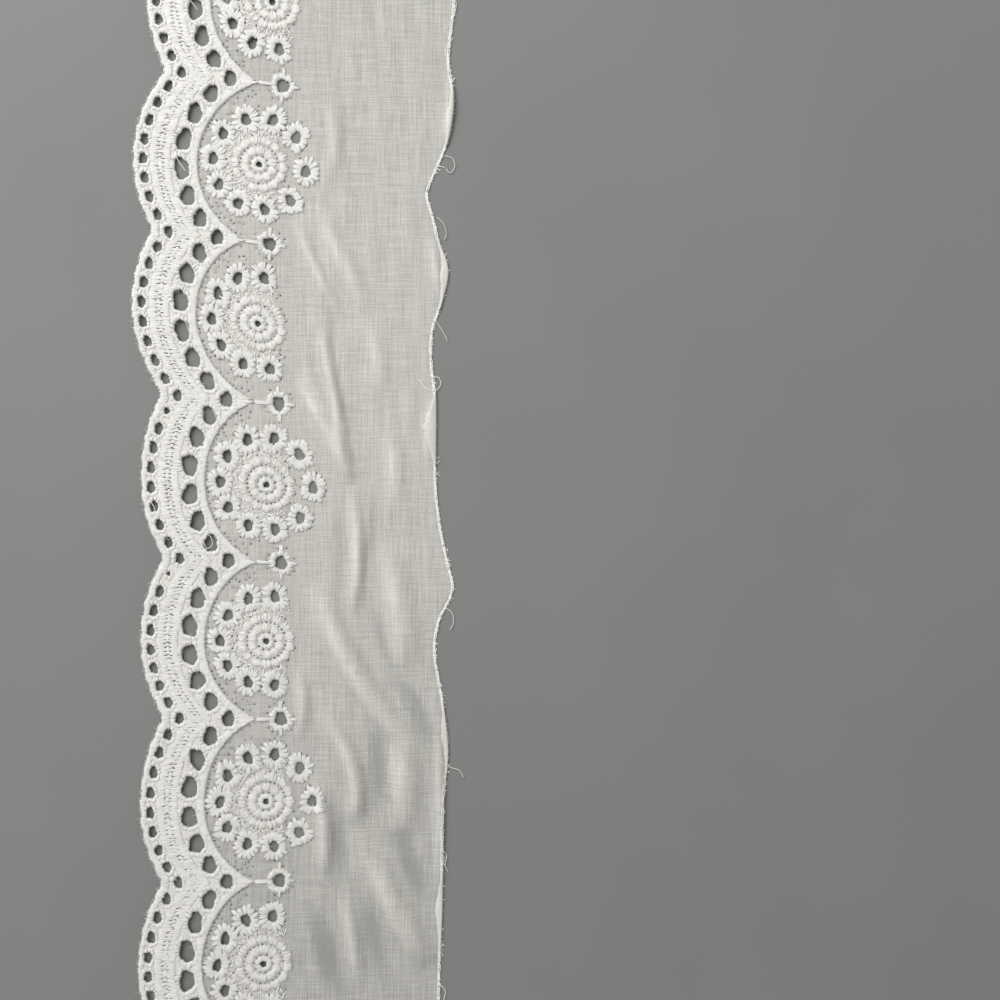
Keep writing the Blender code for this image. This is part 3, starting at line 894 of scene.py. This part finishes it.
colours.color_ramp.elements[1].position = 0.6
colours.color_ramp.elements[1].color = linear("#F3F2EE")
tree.links.new(colours.outputs[0], shader.inputs["Base Color"])
bump = add_node(
    tree, "Bump", {"Height": plies, "Strength": 0.3, "Distance": 0.00005}
).outputs[0]
tree.links.new(bump, shader.inputs["Normal"])
shader.inputs["Sheen Weight"].default_value = 0.1
shader.inputs["Subsurface Weight"].default_value = 0.3
shader.inputs["Subsurface Radius"].default_value = (0.4, 0.38, 0.35)
shader.inputs["Subsurface Scale"].default_value = MM

# The stitches run up to the small eyelets and a little between them. Their edge stands proud
# unevenly and draws in beside each eyelet, and the notch between two scallops is drawn shut.
INTO_ROW = 0.35
PROUD = (-0.18, 0.25)
DRAWN_IN = 0.22
NOTCH_HALF = 1.7
NOTCH_WIDTH = 2.1
NOTCH_SHUT = 0.85
NOTCH_DEPTH = 2.4
starts, ends = [], []
chance = np.random.default_rng(21)
edge_half = half_angle(EDGE[0])
edge_count = round(2 * math.radians(edge_half) * EDGE[0] / STITCH_PITCH)
for index in SCALLOPS:
    for step in range(edge_count):
        angle = -edge_half + 2 * edge_half * (step + 0.5) / edge_count
        outside = arc(EDGE[0], EDGE[1], angle)
        to_row = math.hypot(outside[0] - SMALL_ROW[1], outside[1]) - SMALL_ROW[0]
        depth = to_row - SMALL_EYELET[0] / 2 + chance.uniform(0.0, INTO_ROW)
        lobe = math.cos(math.tau * (angle / edge_half / 2 + 0.5) * SMALL_STEPS)
        proud = chance.uniform(*PROUD) - DRAWN_IN * lobe
        starts.append(arc(EDGE[0] + proud, EDGE[1], angle, index))
        ends.append(arc(EDGE[0] - depth, EDGE[1], angle, index))
notch = EDGE[1] - math.sqrt(EDGE[0] ** 2 - (PITCH / 2) ** 2)
for index in VALLEYS:
    for aside in np.arange(-NOTCH_HALF, NOTCH_HALF + 0.01, STITCH_PITCH):
        shut = -NOTCH_SHUT * (1 - (aside / NOTCH_WIDTH) ** 2) + chance.uniform(-0.15, 0.15)
        starts.append((notch + shut, index * PITCH + aside))
        ends.append((notch + NOTCH_DEPTH, index * PITCH + aside * 0.8))
outer_edge = stitched(
    "scalloped_edge_stitches", starts, ends, feet=(0.18, 0.6), top=0.82, width=0.54, seed=2,
    squash=0.3,
)
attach(outer_edge, "root")


# The small eyelets. Each is overcast with short stitches that turn round its cut edge and
# meet those of the next one between them.
def overcast(holes, pitch, length, chance, inward=0.1):
    """Stitches round eyelets, square to their edge: starts at the edge, ends outside."""
    starts, ends = [], []
    for hole in holes:
        count = round(math.pi * hole.half.sum() / pitch)
        turns = (np.arange(count) + chance.uniform(0, 1)) / count * math.tau
        turns = turns + chance.normal(0, 0.03, count)
        reach = length * chance.uniform(0.85, 1.2, count)
        starts += list(rim(hole, turns, -inward))
        outer = rim(hole, turns + chance.normal(0, 0.05, count), 1.0) - rim(hole, turns)
        outer /= np.linalg.norm(outer, axis=-1, keepdims=True)
        ends += list(rim(hole, turns) + outer * reach[:, None])
    return starts, ends


chance = np.random.default_rng(31)
small = [hole for hole in EYELETS if hole.kind == "small"]
starts, ends = overcast(small, STITCH_PITCH, 1.35, chance)
small_rims = stitched(
    "small_eyelet_stitches", starts, ends, feet=(0.16, 0.6), top=0.8, width=0.54, seed=3,
    squash=0.3,
)
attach(small_rims, "root")


# The ladder. Between the two rows of eyelets run three columns of short stitches, square to
# the scallop, with narrow slits where the needle went down between two columns.
# Stitches begin a little outside the ladder, and where a row has no slit, two of them lap by
# this share of its width to each side.
LADDER_START = -0.05
LAP = 0.04
LADDER_TILT = 0.003
starts, ends = [], []
chance = np.random.default_rng(41)
for index in SCALLOPS:
    for t, slits in ladder_rows(index):
        near = LADDER_START
        for middle, half in (slits or [(share, -LAP) for share in SLIT_COLUMNS]) + [(1.0, 0.0)]:
            tilt = chance.normal(0, LADDER_TILT)
            starts.append(ladder(index, near, t - tilt))
            ends.append(ladder(index, middle - half, t + tilt))
            near = middle + half
ladder_stitches = stitched(
    "ladder_stitches", starts, ends, feet=(0.62, 0.62), top=0.67, width=0.58, seed=4, squash=0.3
)
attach(ladder_stitches, "root")


# The large eyelets. The stitches round them are the same overcasting, a little longer, and
# the bars between two eyelets are worked full from both sides.
chance = np.random.default_rng(51)
large = [hole for hole in EYELETS if hole.kind in ("large", "valley")]
starts, ends = overcast(large, STITCH_PITCH, 1.55, chance)
large_rims = stitched(
    "large_eyelet_stitches", starts, ends, feet=(0.14, 0.6), top=0.8, width=0.54, seed=5,
    squash=0.3,
)
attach(large_rims, "root")


# The inner edge of the band. Satin stitch closes the band round each flower, and where two
# scallops meet it runs out to a point towards the flower line.
POINT_TIP = -2.9
POINT_HALF = 3.6
# The depth of the satin stitches, and from how many degrees round the scallop they shorten,
# down to what share of it, as they run into the point.
SATIN_DEPTH = 2.1
SHORTER_FROM = 48
SHORTER_OVER = 18
SHORTEST = 0.25
starts, ends = [], []
chance = np.random.default_rng(61)
satin_count = round(2 * math.radians(SATIN_REACH) * SATIN_RADIUS / STITCH_PITCH)
for index in SCALLOPS:
    for step in range(satin_count):
        angle = -SATIN_REACH + 2 * SATIN_REACH * (step + 0.5) / satin_count
        depth = SATIN_DEPTH + chance.uniform(-0.15, 0.3)
        if abs(angle) > SHORTER_FROM:
            depth *= max(SHORTEST, 1 - (abs(angle) - SHORTER_FROM) / SHORTER_OVER)
        inner = satin_inner(angle) + chance.uniform(-0.12, 0.12)
        starts.append(arc(inner, LARGE_ROW[1], angle, index))
        ends.append(arc(SATIN_RADIUS + depth, LARGE_ROW[1], angle, index))
for index in VALLEYS:
    base = arc(*LARGE_ROW, half_angle(LARGE_ROW[0]))[0] + VALLEY_EYELET[0] / 2
    for aside in np.arange(-POINT_HALF, POINT_HALF + 0.01, STITCH_PITCH):
        inwards = math.sqrt(SATIN_RADIUS**2 - (PITCH / 2 - abs(aside)) ** 2)
        tip = LARGE_ROW[1] - inwards + chance.uniform(-0.3, 0.3)
        starts.append((base - 0.3 - 0.12 * aside**2, index * PITCH + aside * 0.9))
        ends.append((min(tip, POINT_TIP), index * PITCH + aside))
satin_edge = stitched(
    "satin_edge_stitches", starts, ends, feet=(0.36, 0.62), top=0.66, seed=6, squash=0.45
)
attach(satin_edge, "root")


# The petals. Each petal is an eyelet from which about sixteen rays of long stitches spread,
# three threads to a ray, over a ring of close short stitches. A ray's outer threads stand
# aside by this angle at the eyelet, in radians, and by this many millimetres at the tip.
RAY_FOOT = 0.11
RAY_TIP = 0.44


def rays(hole, count, shortest, longest, chance):
    """Rays of three stitches each round an eyelet: starts at its edge, ends at the tips."""
    starts, ends = [], []
    turns = (np.arange(count) + chance.uniform(0, 1)) / count * math.tau
    for turn in turns + chance.normal(0, 0.05, count):
        tip = rim(hole, np.array(turn), chance.uniform(shortest, longest))
        ahead = tip - rim(hole, np.array(turn))
        aside = np.array((-ahead[1], ahead[0])) / np.linalg.norm(ahead)
        for side in (-1, 0, 1):
            starts.append(rim(hole, np.array(turn + side * RAY_FOOT), -0.1))
            ends.append(tip + aside * side * RAY_TIP - ahead * 0.08 * abs(side))
    return starts, ends


starts, ends = [], []
chance = np.random.default_rng(71)
petal_holes = [hole for hole in EYELETS if hole.kind == "petal"]
for hole in petal_holes:
    ray_starts, ray_ends = rays(hole, int(chance.integers(15, 18)), 2.5, 3.6, chance)
    starts += ray_starts
    ends += ray_ends
short_starts, short_ends = overcast(petal_holes, 0.6, 1.5, chance)
petals = stitched(
    "petal_stitches", starts + short_starts, ends + short_ends, feet=(0.15, 0.36), top=0.58,
    width=0.52, seed=7, squash=0.34,
)
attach(petals, "root")


# The rosettes. Round a tiny eyelet lie a satin ring, a ring of ten flat leaves and a ring of
# fourteen, each leaf seven stitches side by side that fan out and end in a soft curve.
RING_STITCHES = 34
LEAF_STITCHES = 7
LEAF_SPANS = ((3.3, 6.25), (6.75, 9.7))
# A leaf's half width as a share of its part of the ring, and how far its feet and its tips
# draw back at its two sides.
LEAF_HALF = 0.39
LEAF_FOOT = 0.45
LEAF_TIP = 0.75
starts, ends = [], []
chance = np.random.default_rng(81)
rosette_holes = [hole for hole in EYELETS if hole.kind == "rosette"]
for index, hole in zip(SCALLOPS, rosette_holes):
    turns = np.arange(RING_STITCHES) / RING_STITCHES * math.tau
    starts += list(rim(hole, turns, -0.05))
    ends += list(rim(hole, turns, 1.55))
    for ring, (inner, outer) in enumerate(LEAF_SPANS):
        for leaf in range(LEAVES[ring]):
            turn = leaf_turn(index, ring, leaf)
            for place in np.linspace(-1, 1, LEAF_STITCHES):
                aside = np.array(turn + place * LEAF_HALF * math.tau / LEAVES[ring])
                near = inner + LEAF_FOOT * place**2 + chance.uniform(-0.08, 0.1)
                far = outer - LEAF_TIP * place**2 + chance.uniform(-0.12, 0.08)
                starts.append(round_places(hole.middle, near, aside))
                ends.append(round_places(hole.middle, far, aside))
rosettes = stitched(
    "rosette_stitches", starts, ends, feet=(0.4, 0.4), top=0.6, width=0.46, seed=8
)
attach(rosettes, "root")


# The connectors. Between two flowers stands an eyelet with rays and four long arms, three
# threads each, that make a cross; the arm towards the band reaches the satin edge's point.
CROSS = ((0.0, 3.6), (math.pi, 6.5), (math.pi / 2, 3.8), (-math.pi / 2, 3.8))
starts, ends = [], []
chance = np.random.default_rng(91)
for hole in EYELETS:
    if hole.kind != "connector":
        continue
    ray_starts, ray_ends = rays(hole, 16, 1.6, 2.3, chance)
    starts += ray_starts
    ends += ray_ends
    for turn, reach in CROSS:
        for side in (-1, 0, 1):
            starts.append(rim(hole, np.array(turn + side * 0.1), 0.0))
            ends.append(rim(hole, np.array(turn + side * 0.02), reach))
connectors = stitched("connector_stitches", starts, ends, feet=(0.15, 0.35), top=0.6, seed=9)
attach(connectors, "root")


# The ground of the flowers. Between petals and rosette the cloth is crossed by short running
# stitches where the thread travels from one form to the next.
RUNNING_RINGS = (10.5, 12.6)
RUNNING_TURNS = (55.0, 305.0)
RUNNING_STEP = 4.2
starts, ends = [], []
chance = np.random.default_rng(101)
for index in SCALLOPS:
    for turn in np.radians(np.arange(*RUNNING_TURNS, RUNNING_STEP)):
        for reach in RUNNING_RINGS:
            ahead = np.array((math.cos(turn), math.sin(turn)))
            place = ahead * (reach + chance.uniform(-0.8, 0.8)) + flower(index)
            run = chance.normal(0, 0.9, 2) + ahead * chance.uniform(0.3, 1.2)
            starts.append(place - run / 2)
            ends.append(place + run / 2)
ground = stitched(
    "running_stitches", starts, ends, feet=(0.3, 0.3), top=0.46, width=0.42, seed=10
)
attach(ground, "root")


# The frayed edge. Along the torn side the cross threads of the lawn stand out as short fuzz,
# and some lengthwise threads have pulled loose and curl away from it.
FRAY_STEP = 0.24
FRAY_LENGTH = 1.0
FRAY_HALF_WIDTH = 0.09
FRAY_JOINTS = 6
FRAY_ROOT = 0.9
FRAY_HEIGHT = 0.3
FRAY_ENDS = (-190.0, 190.0)
# The outermost lengthwise yarns: how far in from the edge each lies and its own wave, the
# length and step of its pieces, and its half width.
RIM_YARNS = ((0.1, 0.0), (0.5, 2.0))
RIM_PIECE = 8.0
RIM_STEP = 1.62
RIM_HALF_WIDTH = 0.13
# Raw lawn yarn: single, soft and matt, about 0.2 mm thick.
lawn_yarn, tree, shader = new_material("raw_lawn_yarn", 0.85, 0.3)
shade = add_node(tree, "Attribute", attribute_name="shade").outputs["Fac"]
colours = add_node(tree, "ValToRGB", {0: shade})
colours.color_ramp.elements[0].color = linear("#E6E4DE")
colours.color_ramp.elements[1].color = linear("#FAF9F5")
tree.links.new(colours.outputs[0], shader.inputs["Base Color"])


def wander(roots, headings, bends, lengths, joints):
    """Flat paths that leave their roots along a heading and bend evenly from there."""
    turned = headings[:, None] + bends[:, None] * np.arange(joints) / (joints - 1)
    step = lengths[:, None] / (joints - 1)
    path = np.zeros((len(roots), joints, 3))
    path[:, 1:, 0] = np.cumsum(np.cos(turned[:, 1:]) * step, axis=1)
    path[:, 1:, 1] = np.cumsum(np.sin(turned[:, 1:]) * step, axis=1)
    path[:, :, :2] += roots[:, None]
    return path


chance = np.random.default_rng(111)
y = np.arange(*FRAY_ENDS, FRAY_STEP)
y = y + chance.uniform(-0.15, 0.15, len(y))
root = np.stack((between(RAW_EDGE, y, 1) - FRAY_ROOT, y), axis=-1)
tuft = np.clip(np.sin(0.31 * y) * np.sin(0.117 * y + 1.3), 0, 1) ** 2
length = chance.gamma(1.5, 0.16, len(y)) * (1 + 2.4 * tuft) + FRAY_LENGTH
heading = chance.normal(0, 0.4, len(y))
curl = chance.normal(0, 1.0, len(y))
path = wander(root, heading, curl, length, FRAY_JOINTS)
sink = 0.08 * np.linspace(0, 1, FRAY_JOINTS)
path[:, :, 2] = lift(path[:, :, :2]) + FRAY_HEIGHT - sink
slim = np.full((len(y), FRAY_JOINTS), FRAY_HALF_WIDTH) * chance.uniform(0.7, 1.3, (len(y), 1))
slim[:, -1] *= 0.5
# The lengthwise yarns, freed of most cross threads, make a thin bright rim.
rim_paths = []
for inward, phase in RIM_YARNS:
    for start in np.arange(FRAY_ENDS[0], FRAY_ENDS[1] - RIM_PIECE, RIM_PIECE):
        at = start + np.arange(FRAY_JOINTS) * RIM_STEP
        wave = 0.14 * np.sin(1.9 * at + phase) + 0.1 * np.sin(0.83 * at + 2 * phase)
        places = np.column_stack((between(RAW_EDGE, at, 1) - inward + wave, at))
        rim_paths.append(np.column_stack((places, lift(places) + FRAY_HEIGHT)))
path = np.concatenate((path, np.array(rim_paths)))
slim = np.concatenate((slim, np.full((len(rim_paths), FRAY_JOINTS), RIM_HALF_WIDTH)))
fray = sweep("frayed_yarn_ends", path, slim, lawn_yarn, 0.9)
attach(fray, "root")


# The turned edge. In five places the raw edge has rolled over and lies double on the cloth,
# which shows brighter there. Each row is where it starts, where it ends and how wide it is.
TURNED = (
    (134, 113.5, 2.2),
    (82.5, 58, 2.4),
    (30.5, 5.5, 4.6),
    (-74, -99, 1.8),
    (-131, -159, 2.2),
)
# The rows of the turned cloth from its fold inwards: share of the width, how far in besides,
# height over the cloth and how closed it looks.
TURNED_ROWS = (
    (0.0, 0.0, 0.42, 1.0),
    (0.0, 0.45, 0.66, 1.0),
    (0.5, 0.4, 0.52, 0.85),
    (1.0, 0.4, 0.44, 0.9),
)
TURNED_THICKNESS = 0.22
TURNED_STEP = 0.8
TURNED_PROUD = 0.12
corners, faces, closed = [], [], []
chance = np.random.default_rng(121)
for start, end, widest in TURNED:
    count = round((start - end) / TURNED_STEP)
    share = np.linspace(0, 1, count)
    y = start + (end - start) * share
    x = between(RAW_EDGE, y, 1) + TURNED_PROUD
    width = widest * np.minimum(share / 0.5, (1 - share) / 0.5)
    width = width * chance.uniform(0.86, 1.08, count)
    first = len(corners)
    for across, more, rise, shut in TURNED_ROWS:
        places = np.column_stack((x - across * width - more, y))
        corners += np.column_stack((places - BOX_MIDDLE, lift(places) + rise)).tolist()
        closed += [shut] * count
    for column in range(len(TURNED_ROWS) - 1):
        for row in range(count - 1):
            at = first + column * count + row
            faces.append((at, at + count, at + count + 1, at + 1))
turned_mesh = bpy.data.meshes.new("turned_edge")
turned_mesh.from_pydata(np.array(corners) * MM, [], faces, shade_flat=False)
doubled = np.array(closed)
turned_mesh.attributes.new("covered", "FLOAT", "POINT").data.foreach_set("value", doubled)
turned_mesh.materials.append(lawn)
turned_edge = add_object("turned_edge", turned_mesh)
solidify = turned_edge.modifiers.new("thickness", "SOLIDIFY")
solidify.thickness = TURNED_THICKNESS * MM
solidify.offset = 0.0
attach(turned_edge, "root")


# The loose yarns. Single yarns that have worked out of the raw edge and the stitching: each
# row is its height over the cloth and the places that it passes.
LOOSE = (
    (0.4, (52.2, 153.2), (54.4, 157.2), (55.4, 161.4), (54.9, 164)),
    (0.4, (53.2, 142.4), (51.6, 145.4), (52.8, 148.6), (54.3, 150.2)),
    (0.45, (51.5, 110.4), (54, 109.6), (54.9, 106.8), (53.3, 104.6), (51.9, 106)),
    (0.45, (49, 89.6), (51.2, 87.3), (52, 84.2), (51.4, 82)),
    (0.4, (48.2, 55), (49.8, 52.6), (51.7, 49.4), (52.4, 47.6)),
    (0.5, (42.7, 34.6), (45.4, 31.4), (48.4, 31), (50.2, 33.2), (49.3, 35.5), (46.8, 35.2)),
    (0.4, (52, -42.6), (54.1, -44.6), (54.4, -47.8), (53.2, -50)),
    (0.4, (50, -94.4), (53.4, -96.6), (56.4, -97.6), (58, -100.2)),
    (0.4, (50.2, -124), (52.2, -126.4), (51.6, -129.6), (52.7, -132)),
    (0.4, (49.8, -170), (51.7, -172.2), (51.1, -175.6)),
    (0.9, (-39.6, 110.6), (-38, 107.8), (-36, 105)),
    (0.9, (-37.1, 55.6), (-35.5, 53.2), (-34.6, 50.4)),
    (0.9, (-35.6, 163.8), (-33.6, 161.6), (-31.8, 159.2)),
    (0.9, (-26.9, 24.8), (-25.7, 22.2), (-24.9, 19.4)),
    (0.9, (-24.5, 24.9), (-24.3, 22.2), (-25.6, 19.6)),
    (0.7, (-1.8, 6), (-0.9, -1.5), (0.5, -9.2)),
    (0.9, (-29.8, -17.2), (-27.4, -18.4), (-26.8, -21.2), (-28.6, -22.4), (-29.8, -20)),
    (0.8, (-48, -6.4), (-46.6, -8.2), (-46, -10.4)),
    (0.6, (-20.5, 16.4), (-18.6, 18.6), (-16.2, 19.3), (-17.4, 17)),
)
YARN_STEPS = 14
YARN_HALF_WIDTH = 0.11
paths = []
for height, *corners in LOOSE:
    rows = [(number, *corner) for number, corner in enumerate(corners)]
    at = np.linspace(0, len(corners) - 1, YARN_STEPS)
    places = np.stack((between(rows, at, 1), between(rows, at, 2)), axis=-1)
    paths.append(np.column_stack((places, lift(places) + height)))
slim = np.full((len(paths), YARN_STEPS), YARN_HALF_WIDTH)
loose = sweep("loose_yarns", np.array(paths), slim, lawn_yarn, 0.9, 5)
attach(loose, "root")


# The fuzz. Fine fibres stand out of the stitching along the scallops and into the eyelets.
HAIR_JOINTS = 4
HAIRS_ON_SCALLOP = 190
HAIRS_IN_EYELET = 6
HAIRS_IN_LARGE = 12
HAIR_LENGTH = 0.25
HAIR_HALF_WIDTH = 0.06
HAIR_TIP = 0.02
chance = np.random.default_rng(131)
roots, headings = [], []
for index in SCALLOPS:
    angles = chance.uniform(-edge_half, edge_half, HAIRS_ON_SCALLOP)
    roots += list(arc(EDGE[0] - 0.15, EDGE[1], angles, index))
    headings += list(np.pi - np.radians(angles) + chance.normal(0, 0.7, len(angles)))
for hole in EYELETS:
    if hole.kind == "rosette":
        continue
    hairs = HAIRS_IN_LARGE if hole.kind == "large" else HAIRS_IN_EYELET
    turns = chance.uniform(0, math.tau, hairs)
    roots += list(rim(hole, turns, 0.1))
    headings += list(turns + hole.turn + np.pi + chance.normal(0, 0.8, hairs))
roots, headings = lie(np.array(roots)), np.array(headings)
length = chance.gamma(2.0, 0.22, len(roots)) + HAIR_LENGTH
bend = chance.normal(0, 0.9, len(roots))
path = wander(roots, headings, bend, length, HAIR_JOINTS)
path[:, :, 2] = lift(path[:, :, :2]) + chance.uniform(0.3, 0.8, (len(roots), 1))
slim = np.full((len(roots), HAIR_JOINTS), HAIR_HALF_WIDTH)
slim[:, -1] = HAIR_TIP
fuzz = sweep("cotton_fuzz", path, slim, cotton_thread, 0.9, 3)
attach(fuzz, "root")


# The floor, the light and the camera. A plain pale surface, one broad soft light over the
# scalloped side towards the strip's far end, a dim even fill, and a camera straight above.
FLOOR_HALF = 3
LIGHT_SIZE = (1.0, 0.8)
LIGHT_WATTS = 13.2
LIGHT_PLACE = (-0.5, 0.62, 0.74)
FILL = 0.44
PHOTO_MIDDLE = (70.0, -4.8)
PHOTO_WIDTH = 339.0
CAMERA_HEIGHT = 363.5
SENSOR = 36.0
floor_mesh = bpy.data.meshes.new("floor")
floor_mesh.from_pydata(
    [(x * FLOOR_HALF, y * FLOOR_HALF, 0) for x, y in ((-1, -1), (1, -1), (1, 1), (-1, 1))],
    [], [(0, 1, 2, 3)], shade_flat=True,
)
floor = add_object("floor", floor_mesh)
# Painted board: matt pale grey with a barely seen mottle.
painted_board, tree, shader = new_material("painted_board", 0.75, 0.2)
mottle = add_node(
    tree, "TexNoise",
    {"Vector": add_node(tree, "TexCoord").outputs["Object"], "Scale": 14.0},
).outputs["Fac"]
colours = add_node(tree, "ValToRGB", {0: mottle})
colours.color_ramp.elements[0].color = linear("#7D7E7D")
colours.color_ramp.elements[1].color = linear("#858684")
tree.links.new(colours.outputs[0], shader.inputs["Base Color"])
floor_mesh.materials.append(painted_board)

key = add_object("soft_light", bpy.data.lights.new("soft_light", "AREA"))
key.data.shape = "RECTANGLE"
key.data.size, key.data.size_y = LIGHT_SIZE
key.data.energy = LIGHT_WATTS
key.location = LIGHT_PLACE
key.rotation_euler = key.location.to_track_quat("Z", "Y").to_euler()
world = bpy.data.worlds.new("even_fill")
world.use_nodes = True
background = world.node_tree.nodes["Background"]
background.inputs["Color"].default_value = (1.0, 0.995, 0.985, 1.0)
background.inputs["Strength"].default_value = FILL
bpy.context.scene.world = world
bpy.context.scene.view_settings.view_transform = "Standard"

camera = add_object("camera", bpy.data.cameras.new("camera"))
camera.data.sensor_width = SENSOR
camera.data.lens = SENSOR * CAMERA_HEIGHT / PHOTO_WIDTH
camera.location = (PHOTO_MIDDLE[0] * MM, PHOTO_MIDDLE[1] * MM, CAMERA_HEIGHT * MM)
camera.data.clip_start = 0.01
bpy.context.scene.camera = camera
